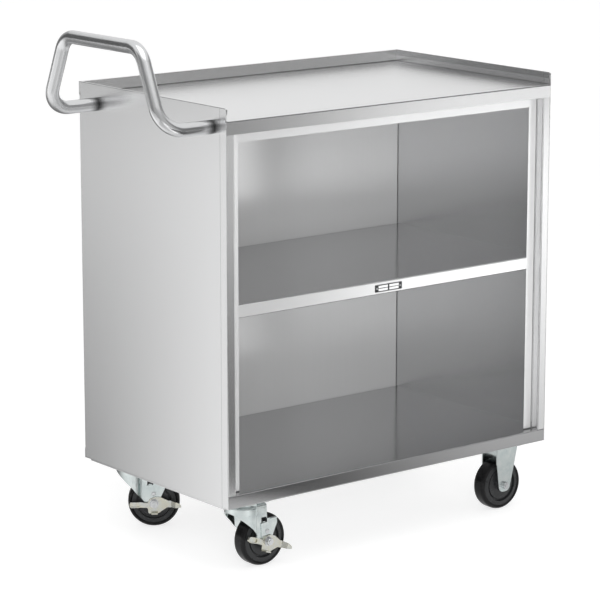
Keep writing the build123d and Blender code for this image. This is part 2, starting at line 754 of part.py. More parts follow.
swivel_spots = [Pos(swivel_x, y, 0) for y in caster_ys]
rigid_spots = [Pos(rigid_x, y, 0) for y in caster_ys]
rigid_axle = Pos(-trail, 0, 0)
save("swivel_top_plates", [spot * swivel_top_plate() for spot in swivel_spots])
save("kingpins", [spot * kingpin() for spot in swivel_spots])
save("rigid_top_plates", [spot * top_plate() for spot in rigid_spots])
save("rigid_forks", [spot * rigid_fork() for spot in rigid_spots])
save("rigid_axle_bolts", [spot * rigid_axle * axle_bolt(leg_outer + nut_height) for spot in rigid_spots])
save("rigid_axle_nuts", [spot * rigid_axle * rigid_nut() for spot in rigid_spots])
save("rigid_axle_sleeves", [spot * rigid_axle * axle_sleeve() for spot in rigid_spots])

turns = {"left_front": 0, "left_rear": rear_swivel_turn}
tips = {"left_front": front_lever_tip, "left_rear": 0}
fork = swivel_fork()
lever = brake_lever()
nut_end = nut_seat + nut_flange_height + nut_height
for name, spot in zip(turns, swivel_spots):
    caster = spot * Rot(0, 0, turns[name])
    save(f"{name}_fork", caster * fork)
    save(f"{name}_thrust_washer", caster * thrust_washer())
    save(f"{name}_brake_plate", caster * brake_plate())
    save(f"{name}_brake_rivet", caster * brake_rivet())
    save(f"{name}_axle_bolt", caster * axle_bolt(nut_end))
    save(f"{name}_axle_nut", caster * brake_nut())
    save(f"{name}_axle_sleeve", caster * axle_sleeve())
    save(f"{name}_brake_lever", caster * Pos(trail, 0, axle_z) * Rot(0, tips[name], 0) * lever)

wheel_spots = {name: spot * Rot(0, 0, turns[name]) for name, spot in zip(turns, swivel_spots)}
for name, spot in zip(("right_front", "right_rear"), rigid_spots):
    wheel_spots[name] = spot * rigid_axle
for name, spot in wheel_spots.items():
    save(f"{name}_wheel_core", spot * wheel_core())
    save(f"{name}_tyre", spot * tyre())
    save(f"{name}_wheel_bearing", spot * wheel_bearing())
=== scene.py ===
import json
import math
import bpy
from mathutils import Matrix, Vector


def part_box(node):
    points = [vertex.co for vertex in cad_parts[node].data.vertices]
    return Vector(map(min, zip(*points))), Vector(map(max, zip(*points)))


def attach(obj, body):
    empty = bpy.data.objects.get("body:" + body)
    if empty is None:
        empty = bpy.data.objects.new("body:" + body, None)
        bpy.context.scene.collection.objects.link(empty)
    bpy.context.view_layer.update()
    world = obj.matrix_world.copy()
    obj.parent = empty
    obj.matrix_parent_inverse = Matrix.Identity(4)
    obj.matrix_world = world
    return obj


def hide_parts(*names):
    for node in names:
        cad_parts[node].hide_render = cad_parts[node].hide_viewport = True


bl_info = {
    "name": "Utility Cart Finish",
    "version": (1, 0, 0),
    "blender": (4, 5, 0),
    "location": "View3D > Sidebar > Cart",
    "description": "Finishes, fasteners, wheels and stage for a folded-sheet utility cart",
    "category": "Object",
}

import bmesh
import bpy
from bpy.props import FloatProperty, FloatVectorProperty, IntProperty, PointerProperty
from bpy.types import Operator, Panel, PropertyGroup
from mathutils import Matrix, Vector

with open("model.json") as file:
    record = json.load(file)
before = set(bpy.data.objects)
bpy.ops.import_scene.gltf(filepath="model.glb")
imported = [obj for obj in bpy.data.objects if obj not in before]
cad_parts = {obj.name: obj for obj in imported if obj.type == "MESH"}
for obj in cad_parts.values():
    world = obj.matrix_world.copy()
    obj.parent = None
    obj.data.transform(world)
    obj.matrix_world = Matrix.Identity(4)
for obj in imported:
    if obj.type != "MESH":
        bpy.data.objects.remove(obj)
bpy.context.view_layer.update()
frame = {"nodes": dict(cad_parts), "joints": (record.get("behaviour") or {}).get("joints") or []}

MM = 0.001
BLACK = (0.0, 0.0, 0.0, 1.0)
WHITE = (1.0, 1.0, 1.0, 1.0)
UP = Vector((0.0, 0.0, 1.0))
JOINTS = {joint["name"]: joint for joint in frame["joints"]}
SWIVEL_CASTERS = ("left_front", "left_rear")
RIGID_CASTERS = ("right_front", "right_rear")
CASTERS = SWIVEL_CASTERS + RIGID_CASTERS

# How close a point lies to a face that a mask picks out
FACE_REACH = 0.3 * MM
INNER_REACH = 0.2 * MM
# Turned this far to a side, a face counts as facing it
FACING = 0.5
# Smooth shading of the turned wheels breaks above this angle
WHEEL_CRISP = math.radians(40)

# The studio's walls, seen only in reflections: bearing from +X in degrees, width, foot and grey
WALL_DISTANCE = 6.5
WALL_HEIGHT = 4.6
WALL_LIFT = 0.01
WALLS = (
    ("wall_right", -8.0, 5.4, 0.0, 0.38),
    ("wall_front", -90.0, 5.2, 0.0, 0.60),
    ("wall_front_right", -48.0, 5.2, 0.0, 0.20),
    ("wall_front_left", -135.0, 5.2, 0.0, 0.50),
    ("wall_left", 180.0, 5.2, 0.4, 0.30),
    ("wall_back_left", 128.0, 5.6, 0.2, 0.14),
    ("wall_back", 92.0, 3.0, 0.4, 0.45),
    ("wall_back_right", 50.0, 8.0, 0.0, 0.92),
)

# Cards on the floor, seen only in reflections: bearing, distance of the near end, offset to the
# right of the bearing, width, height above the floor, the left and right greys, where across the
# card the grey changes, and its gain at the near and the far end
FLOOR_CARD_END = 6.3
FLOOR_CARDS = (
    ("front_right_floor_card", -51.6, 0.50, 0.60, 3.4, 0.008, (1.24, 0.16), (-0.80, -0.20),
     (0.46, 2.25)),
    ("front_left_floor_card", -128.4, 0.80, 0.19, 1.62, 0.010, (1.35, 0.60), (-0.69, -0.09),
     (1.25, 0.8)),
    ("back_left_floor_card", 128.4, 0.30, -0.26, 2.4, 0.006, (1.45, 0.30), (-0.30, 0.30),
     (0.76, 1.26)),
    ("back_right_floor_card", 51.6, 0.30, 0.0, 5.0, 0.004, (0.30, 0.30), (-1.0, 1.0), (1.0, 1.0)),
    ("right_floor_card", -8.0, 0.80, 0.0, 3.0, 0.005, (0.40, 0.40), (-1.0, 1.0), (1.0, 1.0)),
)

# Soft lamps: place, the point aimed at, side, which setting is the power, seen in metal or not
LAMPS = (
    ("top_lamp", (-0.6, -0.9, 3.4), (0.0, 0.0, 0.5), 2.6, "top_power", True),
    ("side_lamp", (3.2, -3.0, 1.6), (0.1, 0.0, 0.5), 2.0, "side_power", False),
    ("front_lamp", (-2.2, -3.8, 1.2), (0.1, 0.0, 0.5), 2.0, "front_power", False),
)

CAMERA_PLACE = (-3.26187, -4.13722, 1.58941)
CAMERA_TILT = math.radians(77.773)
CAMERA_HEADING = math.radians(-38.397)


# ---- sizes and colours

def length(note, millimetres):
    """A length property."""
    return FloatProperty(description=note, default=millimetres * MM, unit="LENGTH", precision=5)


def share(note, default, high=1.0):
    """A plain number from nothing to a limit."""
    return FloatProperty(description=note, default=default, min=0.0, max=high)


def colour(note, default):
    """The colour of a part."""
    return FloatVectorProperty(description=f"Colour of the {note}", default=default,
                               subtype="COLOR", min=0.0, max=1.0)


def power(note, default):
    """A lamp's power, in watts."""
    return FloatProperty(description=note, default=default, unit="POWER")


def count(note, default, low, high):
    """A whole number between two limits."""
    return IntProperty(description=note, default=default, min=low, max=high)


class SheetFinish(PropertyGroup):
    """Brushed stainless sheet of the body."""
    tone: colour("brushed sheet", (0.80, 0.802, 0.806))
    roughness: share("Roughness of the brushed sheet", 0.26)
    shelf_tone: colour("shelves", (0.48, 0.481, 0.485))
    # Painted shade: a darker tone on the side panels' inner faces stands in for the shade inside
    # the cart.
    inside_tone: colour("side panels' inner faces", (0.68, 0.683, 0.688))
    shelf_roughness: share("Roughness of the smoother shelves", 0.12)
    roughness_spread: share("How far the grain changes the roughness", 0.012)
    tone_spread: share("How far the grain darkens the sheet", 0.035)
    grain_share: share("Weight of the grain beside the slow clouds", 0.75)
    grain_stretch: share("Width of a scratch as a share of its length", 0.01)
    grain_width: length("Width of the finest scratches", 0.9)
    band_width: length("Width of the broad bands in the grain", 3.5)
    grain_depth: length("Depth of the scratches for the bump", 0.0005)
    stretch: share("How far the brushing stretches reflections", 0.6)
    gauge: length("Thickness of the sheet", 1.2)
    rim_height: length("From the deck to the top of its rim", 24)
    rail_height: length("Height of the front rail under the deck", 25)
    stile_width: length("Width of each front stile", 19)
    # Painted shadow: a dark line round the recessed frame stands in for the shade in its step.
    seam_width: length("Width of the dark line round the recessed frame", 2.0)
    seam_share: share("Tone of that line as a share of the frame's", 0.2)
    # Painted shade: a darker tone on the right rim's inner face stands in for the shade on that
    # face.
    side_rim_tone: colour("right rim's inner face", (0.52, 0.523, 0.528))
    # Painted light: a brighter tone on the back rim's inner face stands in for the light on that
    # face.
    back_rim_tone: colour("back rim's inner face", (0.96, 0.96, 0.96))
    # Painted shade: a dark line along the deck's tight folds, where it meets the rims and at its
    # front edge.
    bend_width: length("Width of the dark line at a tight bend", 1.8)
    bend_share: share("Tone of that line as a share of the sheet's", 0.35)
    back_tone: colour("brighter back sheet", (0.84, 0.842, 0.846))
    back_metal: share("Metallic share of the back sheet", 0.45)
    back_roughness: share("Roughness of the back sheet", 0.2)
    frame_tone: colour("recessed frame", (0.85, 0.852, 0.855))
    frame_metal: share("Metallic share of the recessed frame", 0.56)


class HandleShape(PropertyGroup):
    """Bent tube handle."""
    tube_radius: length("Outer radius of the handle tube", 12.7)
    riser_lean: length("How far each riser leans towards the middle", 62)
    low_bend: length("Centre line radius of the two low bends", 46)
    high_bend: length("Centre line radius of the two high bends", 42)
    # Painted shade: the tube's colour darkens towards each end where it meets the side panel,
    # standing in for the shade there.
    dark_end: length("Length of the darkened end at each weld", 22)
    tone: colour("polished tube", (0.66, 0.665, 0.672))
    roughness: share("Roughness of the tube", 0.2)
    sides: count("Facets round the tube", 48, 12, 96)
    bend_steps: count("Points along each bend", 20, 4, 64)


class FastenerSizes(PropertyGroup):
    """Hexagon bolts and nuts, and the name plate's rivets."""
    flats: length("Hexagon size across its flats", 13)
    head_height: length("Height of a bolt head", 4.5)
    nut_height: length("Height of a nut", 6.5)
    chamfer: length("Corner chamfer of the hexagons", 0.6)
    bolt_radius: length("Radius of the bolt's shank", 4)
    plug_depth: length("Depth of the disc that closes a nut's bore", 0.5)
    spread_x: length("Caster bolt spacing along the cart", 73)
    spread_y: length("Caster bolt spacing across the cart", 44.5)
    rivet_radius: length("Radius of the name plate's rivet heads", 2.0)
    rivet_rise: length("Height of the name plate's rivet heads", 0.7)
    rivet_inset: length("From the name plate's end to its rivet", 4.5)
    tone: colour("bright fasteners", (0.72, 0.73, 0.74))
    roughness: share("Roughness of the fasteners", 0.26)


class PlateFinish(PropertyGroup):
    """Bare name plate."""
    corner: length("Corner radius of the name plate", 1.0)
    border: length("Width of the dark border", 1.9)
    recess: length("How deep the bare field lies", 0.25)
    end: length("Width of the painted ends", 8.0)
    bar: length("Width of the bar between the fields", 3.6)
    rule: length("Width of the thin line along the fields", 1.3)
    dark: colour("painted border", (0.030, 0.031, 0.033))
    bright: colour("bare fields", (0.90, 0.90, 0.90))
    grain_stretch: share("Width of a scratch as a share of its length", 0.02)
    grain_width: length("Width of the finest scratches", 0.4)
    band_width: length("Width of the broad bands in the grain", 2.0)


class CasterFinish(PropertyGroup):
    """Zinc-plated caster hardware."""
    plate: colour("blue-white zinc on forks and plates", (0.72, 0.765, 0.755))
    plate_cool: colour("cooler cast in that zinc", (0.62, 0.685, 0.685))
    lever: colour("warm zinc on the brake levers", (0.66, 0.64, 0.53))
    lever_cool: colour("paler cast on the brake levers", (0.66, 0.68, 0.66))
    washer_tone: colour("thrust washers", (0.55, 0.55, 0.53))
    roughness: share("Roughness of the plating", 0.2)
    edge: length("Rounding of stamped edges", 0.45)
    brake_plate_edge: length("Rounding of the brake plates' edges", 0.36)
    crisp_angle: FloatProperty(description="Edges above this angle stay crisp",
                               default=math.radians(32), subtype="ANGLE")


class WheelShape(PropertyGroup):
    """Moulded wheels: core and tread."""
    core_radius: length("Radius where core and tyre meet", 43)
    hub_radius: length("Radius of the hub boss", 13)
    hub_half: length("Half length of the hub", 19.2)
    bore_radius: length("Radius of the bearing's seat", 8.5)
    disc_half: length("Half width of the disc", 12.5)
    groove_inner: length("Inner radius of the ring groove", 30.5)
    groove_outer: length("Outer radius of the ring groove", 34.5)
    groove_half: length("Half width between the two ring grooves", 8.5)
    rim_half: length("Half width of the rim at the groove", 15.0)
    rim_edge_half: length("Half width of the rim at the tyre", 13.0)
    shoulder_radius: length("Radius of the tyre's widest part", 46.5)
    shoulder_half: length("Half width of the tyre", 15.8)
    tread_half: length("Half width of the flat tread", 8.5)
    tread_edge: length("Radius where the tread rounds over", 49.6)
    rounding: length("Rounding of the core's moulded edges", 0.7)
    tyre_rounding: length("Rounding of the tyre's shoulders", 3.0)
    sides: count("Facets round the wheel", 120, 24, 240)
    core_tone: colour("moulded core", (0.022, 0.023, 0.024))
    tyre_tone: colour("rubber", (0.004, 0.004, 0.0045))
    bearing_tone: colour("bearings", (0.10, 0.10, 0.10))


class StageSettings(PropertyGroup):
    """Floor, studio light and camera."""
    floor_tone: colour("pale floor", (0.86, 0.86, 0.86))
    floor_size: length("Side of the square floor", 24000)
    floor_glow: share("White that the camera sees added to the floor", 0.72)
    mirrored_glow: share("Share of that white which metal reflects", 0.45)
    sky: share("Strength of the studio's soft light", 0.55, 4.0)
    top_power: power("Power of the lamp above", 26.0)
    side_power: power("Power of the lamp beside", 6.0)
    front_power: power("Power of the lamp in front", 113.0)
    lens: FloatProperty(description="Focal length in millimetres", default=166.33, unit="CAMERA")


GROUPS = {
    "cart_sheet": SheetFinish, "cart_handle": HandleShape, "cart_fasteners": FastenerSizes,
    "cart_plate": PlateFinish, "cart_casters": CasterFinish, "cart_wheels": WheelShape,
    "cart_stage": StageSettings,
}


# ---- node trees

def fill(tree, node, inputs):
    """Link a node's inputs, or give them a value."""
    for key, value in inputs.items():
        if isinstance(value, bpy.types.NodeSocket):
            tree.links.new(value, node.inputs[key])
        else:
            node.inputs[key].default_value = value


def add(tree, kind, inputs=None, **settings):
    """New node with its options and its inputs set."""
    made = tree.nodes.new(kind)
    for key, value in settings.items():
        setattr(made, key, value)
    fill(tree, made, inputs or {})
    return made


def first(tree, kind, inputs=None, **settings):
    """First output of a new node."""
    return add(tree, kind, inputs, **settings).outputs[0]


def calc(tree, operation, value, *others):
    """Output of a Math node, or of a chain of them for more than two values."""
    for other in others or (0.0,):
        value = first(tree, "ShaderNodeMath", {0: value, 1: other}, operation=operation)
    return value


def between(tree, value, low=0.0, high=1.0, start=0.0, end=1.0, **settings):
    """Number that goes from low to high while the value goes from start to end."""
    return first(tree, "ShaderNodeMapRange", {
        "Value": value, "From Min": start, "From Max": end, "To Min": low, "To Max": high},
        **settings)


def weighed(tree, one, other, weight):
    """Sum of two values, one with this weight and the other with the rest."""
    return calc(tree, "ADD", calc(tree, "MULTIPLY", one, weight),
                calc(tree, "MULTIPLY", other, 1 - weight))


def near_plane(tree, value, plane, reach):
    """Mask of the points within reach of a plane."""
    away = calc(tree, "ABSOLUTE", calc(tree, "SUBTRACT", value, plane))
    return calc(tree, "LESS_THAN", away, reach)


def tint(tree, factor, one, other):
    """Colour mixed from two by a 0 to 1 factor."""
    return add(tree, "ShaderNodeMix", {0: factor, 6: one, 7: other}, data_type="RGBA").outputs[2]


def opaque(rgb, gain=1.0):
    """Four-part colour from a property."""
    return tuple(min(1.0, part * gain) for part in rgb) + (1.0,)


def parts(tree, vector):
    """The X, Y and Z outputs of a vector."""
    return add(tree, "ShaderNodeSeparateXYZ", {"Vector": vector}).outputs


def noise(tree, vector, scale, detail, roughness=0.5):
    """Value of a noise texture."""
    return add(tree, "ShaderNodeTexNoise", {
        "Vector": vector, "Scale": scale, "Detail": detail, "Roughness": roughness}).outputs["Fac"]


def grouped(tree, group, inputs):
    """Outputs of a shader group set in a material."""
    return add(tree, "ShaderNodeGroup", inputs, node_tree=group).outputs


def new_group(name, kind, inputs, outputs):
    """Node group; a socket's type is given by name, or else by its default value."""
    types = {float: "Float", int: "Int", tuple: "Vector"}
    tree = bpy.data.node_groups.new(name, kind)
    for way, sockets in (("INPUT", inputs), ("OUTPUT", outputs)):
        for label, given in sockets.items():
            named = isinstance(given, str)
            socket = tree.interface.new_socket(
                name=label, in_out=way,
                socket_type="NodeSocket" + (given if named else types[type(given)]))
            if not named:
                socket.default_value = given
    return tree, tree.nodes.new("NodeGroupInput").outputs, tree.nodes.new("NodeGroupOutput").inputs


def hand_out(tree, given, sockets):
    """Link a group's results to its outputs and give back the group."""
    for label, socket in sockets.items():
        tree.links.new(socket, given[label])
    return tree


def made_once(build):
    """Builder of a shader group that gives back the group if it is there already."""
    def ready(*settings):
        return bpy.data.node_groups.get(build.__name__) or build(*settings)
    return ready


@made_once
def brushed_grain():
    """Shader group: fine scratches and broad bands from stretched noise."""
    tree, taken, given = new_group(
        "brushed_grain", "ShaderNodeTree",
        {"Vector": "Vector", "Fine Scale": 900.0, "Band Scale": 110.0},
        {"Scratches": "Float", "Bands": "Float", "Grain": "Float"})
    fine_weight = 0.55
    fine = noise(tree, taken["Vector"], taken["Fine Scale"], detail=2.0, roughness=0.6)
    fine = between(tree, fine, start=0.3, end=0.7)
    bands = noise(tree, taken["Vector"], taken["Band Scale"], detail=3.0, roughness=0.55)
    bands = between(tree, bands, start=0.3, end=0.7)
    return hand_out(tree, given, {
        "Scratches": fine, "Bands": bands, "Grain": weighed(tree, fine, bands, fine_weight)})


@made_once
def cloudy_tone():
    """Shader group: slow, soft changes of tone over a surface, with a fine speckle."""
    tree, taken, given = new_group(
        "cloudy_tone", "ShaderNodeTree",
        {"Vector": "Vector", "Cloud Scale": 30.0, "Speckle Scale": 900.0},
        {"Clouds": "Float", "Speckle": "Float"})
    clouds = noise(tree, taken["Vector"], taken["Cloud Scale"], detail=4.0)
    clouds = between(tree, clouds, start=0.32, end=0.68)
    speckle = noise(tree, taken["Vector"], taken["Speckle Scale"], detail=2.0)
    return hand_out(tree, given, {"Clouds": clouds, "Speckle": speckle})


@made_once
def sheet_places(finish):
    """Shader group: masks of the recessed frame, of the painted shadow line round it, of the
    painted shade on inner faces, in the deck's bends and on the right rim, and of the painted
    light on the back rim.
    """
    labels = ("Recessed", "Seam", "Inner", "Bent", "Side Rim", "Back Rim")
    tree, taken, given = new_group(
        "sheet_places", "ShaderNodeTree", {"Vector": "Vector", "Normal": "Vector"},
        dict.fromkeys(labels, "Float"))
    place, facing = parts(tree, taken["Vector"]), parts(tree, taken["Normal"])
    left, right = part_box("left_side_panel")[0].x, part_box("right_side_panel")[1].x
    centre, half = (left + right) / 2, (right - left) / 2
    low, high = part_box("top_deck")
    deck = high.z - finish.rim_height
    head = deck - finish.rail_height
    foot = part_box("bottom_shelf")[1].z
    beside = calc(tree, "ABSOLUTE", calc(tree, "SUBTRACT", place["X"], centre))

    recessed = near_plane(tree, place["Y"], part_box("name_plate")[1].y, FACE_REACH)
    # Painted shadow: on the recessed frame, a band beside the stiles, under the rail and over the
    # bottom shelf, where the step would shade it.
    shadow_line = calc(
        tree, "MAXIMUM",
        calc(tree, "GREATER_THAN", beside, half - finish.stile_width - finish.seam_width),
        calc(tree, "GREATER_THAN", place["Z"], head - finish.seam_width),
        calc(tree, "LESS_THAN", place["Z"], foot + finish.seam_width))

    # Painted shade in the deck's tight folds: at the back rim, at the side rims and at the front
    # edge.
    setback = finish.gauge + finish.bend_width
    rim_reach, front_reach = finish.bend_width * 1.2, finish.bend_width * 0.7
    folds = calc(tree, "MAXIMUM", near_plane(tree, place["Y"], high.y - setback, rim_reach),
                 near_plane(tree, beside, half - setback, rim_reach),
                 calc(tree, "LESS_THAN", place["Y"], low.y + front_reach))
    # Painted shade on the right rim's inner face and painted light on the back rim's, each picked
    # by the way the face turns.
    raised = calc(tree, "GREATER_THAN", place["Z"], deck + finish.gauge)
    masks = (
        recessed,
        calc(tree, "MULTIPLY", recessed, shadow_line),
        # Painted shade on the side panels' inner faces
        near_plane(tree, beside, half - finish.gauge, INNER_REACH),
        calc(tree, "MULTIPLY", near_plane(tree, place["Z"], deck, finish.bend_width), folds),
        calc(tree, "MULTIPLY", raised, calc(tree, "GREATER_THAN", place["X"], centre),
             calc(tree, "LESS_THAN", facing["X"], -FACING)),
        calc(tree, "MULTIPLY", raised, calc(tree, "LESS_THAN", facing["Y"], -FACING)))
    return hand_out(tree, given, dict(zip(labels, masks)))


def new_material(name):
    """Empty node material: its tree and its shader."""
    material = bpy.data.materials.new(name)
    material.use_nodes = True
    tree = material.node_tree
    tree.nodes.clear()
    shader = add(tree, "ShaderNodeBsdfPrincipled")
    add(tree, "ShaderNodeOutputMaterial", {"Surface": shader.outputs[0]})
    return material, tree, shader


def object_point(tree):
    """Object coordinates, in metres in the cart's frame."""
    return add(tree, "ShaderNodeTexCoord").outputs["Object"]


def feed(tree, shader, **sockets):
    """Link or set the shader's own sockets; underscores stand for spaces."""
    fill(tree, shader, {key.replace("_", " "): value for key, value in sockets.items()})


def bump(tree, height, depth):
    """Normal from a height that changes over the surface."""
    return first(tree, "ShaderNodeBump", {"Strength": 1.0, "Distance": depth, "Height": height})


def grain_along(tree, finish, along):
    """Brushed grain whose scratches run along X, Y or Z."""
    stretch = [finish.grain_stretch if axis == along else 1.0 for axis in "XYZ"]
    mapped = first(tree, "ShaderNodeMapping", {"Vector": object_point(tree), "Scale": stretch})
    return grouped(tree, brushed_grain(), {
        "Vector": mapped, "Fine Scale": 1 / finish.grain_width,
        "Band Scale": 1 / finish.band_width})


def clouds_over(tree, cloud_scale, speckle_scale=900.0):
    """Cloudy tone over a surface."""
    return grouped(tree, cloudy_tone(), {
        "Vector": object_point(tree), "Cloud Scale": cloud_scale,
        "Speckle Scale": speckle_scale})


def brushed_sheet(name, finish, along, tone, metal, roughness):
    """Brushed stainless sheet, its scratches along X, Y or Z."""
    material, tree, shader = new_material(name)
    grain = grain_along(tree, finish, along)
    clouds = clouds_over(tree, cloud_scale=5.0)["Clouds"]
    worn = weighed(tree, grain["Grain"], clouds, finish.grain_share)
    masks = grouped(tree, sheet_places(finish), {
        "Vector": object_point(tree),
        "Normal": add(tree, "ShaderNodeNewGeometry").outputs["Normal"]})
    surface = tint(tree, worn, opaque(tone, 1 - finish.tone_spread), opaque(tone))
    # Painted shade on the right rim's inner face, in the deck's bends, on the side panels' inner
    # faces and in a line round the recessed frame; painted light on the back rim's inner face.
    for label, over in (("Side Rim", opaque(finish.side_rim_tone)),
                        ("Back Rim", opaque(finish.back_rim_tone)),
                        ("Bent", opaque(tone, finish.bend_share)),
                        ("Inner", opaque(finish.inside_tone)),
                        ("Recessed", opaque(finish.frame_tone)),
                        ("Seam", opaque(finish.frame_tone, finish.seam_share))):
        surface = tint(tree, masks[label], surface, over)
    spread = finish.roughness_spread
    feed(tree, shader, Base_Color=surface,
         Metallic=between(tree, masks["Recessed"], metal, finish.frame_metal),
         Roughness=between(tree, grain["Grain"], roughness - spread, roughness + spread),
         Anisotropic=finish.stretch, Anisotropic_Rotation=0.25,
         Tangent=first(tree, "ShaderNodeCombineXYZ", {along: 1.0}),
         Normal=bump(tree, grain["Scratches"], finish.grain_depth))
    return material


def plated(name, tone, cast, roughness, cloud_scale=55.0, shaded_span=None):
    """Bright plating, its cast changing softly; it may carry painted shade between two places
    along X.
    """
    speckle_depth = 0.03 * MM
    smoother, rougher = 0.05, 0.07
    shade_share = 0.1
    material, tree, shader = new_material(name)
    clouds = clouds_over(tree, cloud_scale, speckle_scale=1500.0)
    surface = tint(tree, clouds["Clouds"], opaque(tone), cast)
    # Painted shade: darker towards the far end of the span.
    if shaded_span:
        near = between(tree, parts(tree, object_point(tree))["X"], 0.0, 1.0, *shaded_span,
                       interpolation_type="SMOOTHSTEP")
        surface = tint(tree, near, surface, opaque(tone, shade_share))
    feed(tree, shader, Base_Color=surface, Metallic=1.0,
         Roughness=between(tree, clouds["Clouds"], roughness - smoother, roughness + rougher),
         Normal=bump(tree, clouds["Speckle"], speckle_depth))
    return material


def moulded(name, tone, roughness, speckle_depth=0.01 * MM, spread=0.06, glare=0.5):
    """Moulded rubber or plastic with a faint surface texture."""
    tone_spread = 0.15
    material, tree, shader = new_material(name)
    clouds = clouds_over(tree, cloud_scale=40.0, speckle_scale=1100.0)
    feed(tree, shader,
         Base_Color=tint(tree, clouds["Clouds"], opaque(tone, 1 - tone_spread),
                         opaque(tone, 1 + tone_spread)),
         Roughness=between(tree, clouds["Clouds"], roughness - spread, roughness + spread),
         Specular_IOR_Level=glare, Normal=bump(tree, clouds["Speckle"], speckle_depth))
    return material


# ---- meshes

def linked(name, data):
    """New object in the scene."""
    made = bpy.data.objects.new(name, data)
    bpy.context.scene.collection.objects.link(made)
    return made


def new_piece(name, mesh, body, material, node):
    """Object at the origin that rides on a body and stands in for a CAD node."""
    mesh.name = name
    piece = linked(name, mesh)
    mesh.materials.clear()
    mesh.materials.append(material)
    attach(piece, body)
    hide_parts(node)


def baked(piece):
    """Plain mesh of an object with its modifiers, after which the object is gone."""
    graph = bpy.context.evaluated_depsgraph_get()
    mesh = bpy.data.meshes.new_from_object(piece.evaluated_get(graph))
    bpy.data.objects.remove(piece)
    return mesh


def by_nodes(tree, mesh, inputs):
    """Plain mesh that a geometry node tree makes of a mesh, its inputs set by name."""
    carrier = linked("carrier", mesh)
    modifier = carrier.modifiers.new("nodes", "NODES")
    modifier.node_group = tree
    identifiers = {item.name: item.identifier for item in tree.interface.items_tree
                   if item.item_type == "SOCKET" and item.in_out == "INPUT"}
    for label, value in inputs.items():
        modifier[identifiers[label]] = value
    carrier.update_tag()
    bpy.context.view_layer.update()
    return baked(carrier)


def plain_mesh(name, points, edges=(), faces=()):
    """Mesh from its points, and the lines or faces between them."""
    mesh = bpy.data.meshes.new(name)
    mesh.from_pydata([tuple(point) for point in points], list(edges), list(faces))
    return mesh


def rectangle(name, across, along):
    """Object of one face, given by its two half sides."""
    a, b = Vector(across), Vector(along)
    return linked(name, plain_mesh(name, (-a - b, a - b, a + b, b - a), (), [(0, 1, 2, 3)]))


def settled(work, name, in_order=False):
    """Mesh of a finished bmesh; sorted, it comes out the same where the tools' order varies."""
    points = sorted(work.verts, key=lambda vert: vert.co[:]) if in_order else list(work.verts)
    for index, vert in enumerate(points):
        vert.index = index
    faces = [[vert.index for vert in face.verts] for face in work.faces]
    mesh = plain_mesh(name, [vert.co for vert in points], (),
                      sorted(faces) if in_order else faces)
    work.free()
    return mesh


def merged(node):
    """Copy of a CAD node's mesh with its loose triangles joined and its flats made whole."""
    work = bmesh.new()
    work.from_mesh(frame["nodes"][node].data)
    bmesh.ops.remove_doubles(work, verts=work.verts, dist=0.004 * MM)
    bmesh.ops.dissolve_limit(work, angle_limit=math.radians(0.4), verts=work.verts,
                             edges=work.edges)
    return settled(work, node)


def crisp(mesh, angle):
    """Smooth shading that breaks at edges above the angle."""
    work = bmesh.new()
    work.from_mesh(mesh)
    for face in work.faces:
        face.smooth = True
    for edge in work.edges:
        edge.smooth = edge.calc_face_angle(0.0) < angle
    work.to_mesh(mesh)
    work.free()
    return mesh


def eased(node, settings, width):
    """A CAD node's shape with smooth curves and rounded stamped edges."""
    carrier = linked("eased", crisp(merged(node), settings.crisp_angle))
    bevel = carrier.modifiers.new("bevel", "BEVEL")
    bevel.width = width
    bevel.segments = 2
    bevel.limit_method = "ANGLE"
    bevel.angle_limit = settings.crisp_angle
    bevel.harden_normals = True
    return baked(carrier)


def rounded(points, radii, steps=5):
    """Closed outline in two dimensions with its corners rounded."""
    straight = math.radians(178)
    side_share = 0.49
    made = []
    for index, (point, radius) in enumerate(zip(points, radii)):
        corner = Vector(point)
        back = Vector(points[index - 1]) - corner
        ahead = Vector(points[(index + 1) % len(points)]) - corner
        turn = back.angle(ahead)
        if radius <= 0 or turn > straight:
            made.append(tuple(corner))
            continue
        reach = min(radius / math.tan(turn / 2), back.length * side_share,
                    ahead.length * side_share)
        start = corner + back.normalized() * reach
        end = corner + ahead.normalized() * reach
        for step in range(steps + 1):
            way = step / steps
            made.append(tuple(start.lerp(corner, way).lerp(corner.lerp(end, way), way)))
    return made


def both_sides(half):
    """Whole outline from its half at positive places."""
    return half + [(radius, -place) for radius, place in reversed(half)]


def wheel_part(half, radii, steps, sides, caster):
    """Half outline of radius and place, rounded, turned about Z and put on a wheel's axle."""
    outline = rounded(both_sides(half), radii + radii[::-1], steps)
    work = bmesh.new()
    rings = []
    for step in range(sides):
        angle = 2 * math.pi * step / sides
        rings.append([
            work.verts.new((radius * math.cos(angle), radius * math.sin(angle), place))
            for radius, place in outline])
    for ring, following in zip(rings, rings[1:] + rings[:1]):
        for index in range(len(outline)):
            after = (index + 1) % len(outline)
            work.faces.new((ring[index], following[index], following[after], ring[after]))
    bmesh.ops.recalc_face_normals(work, faces=work.faces)
    mesh = settled(work, "wheel_part")
    joint = JOINTS[f"{caster}_wheel_spin"]
    turn = Vector(joint["axis"]).to_track_quat("Z", "X").to_matrix().to_4x4()
    mesh.transform(Matrix.Translation(joint["pos_m"]) @ turn)
    return crisp(mesh, WHEEL_CRISP)


# ---- geometry node trees

def painted(tree, taken, given, geometry):
    """Geometry tree that ends in real, painted geometry."""
    real = first(tree, "GeometryNodeRealizeInstances", {"Geometry": geometry})
    done = first(tree, "GeometryNodeSetMaterial", {
        "Geometry": real, "Material": taken["Material"]})
    return hand_out(tree, given, {"Geometry": done})


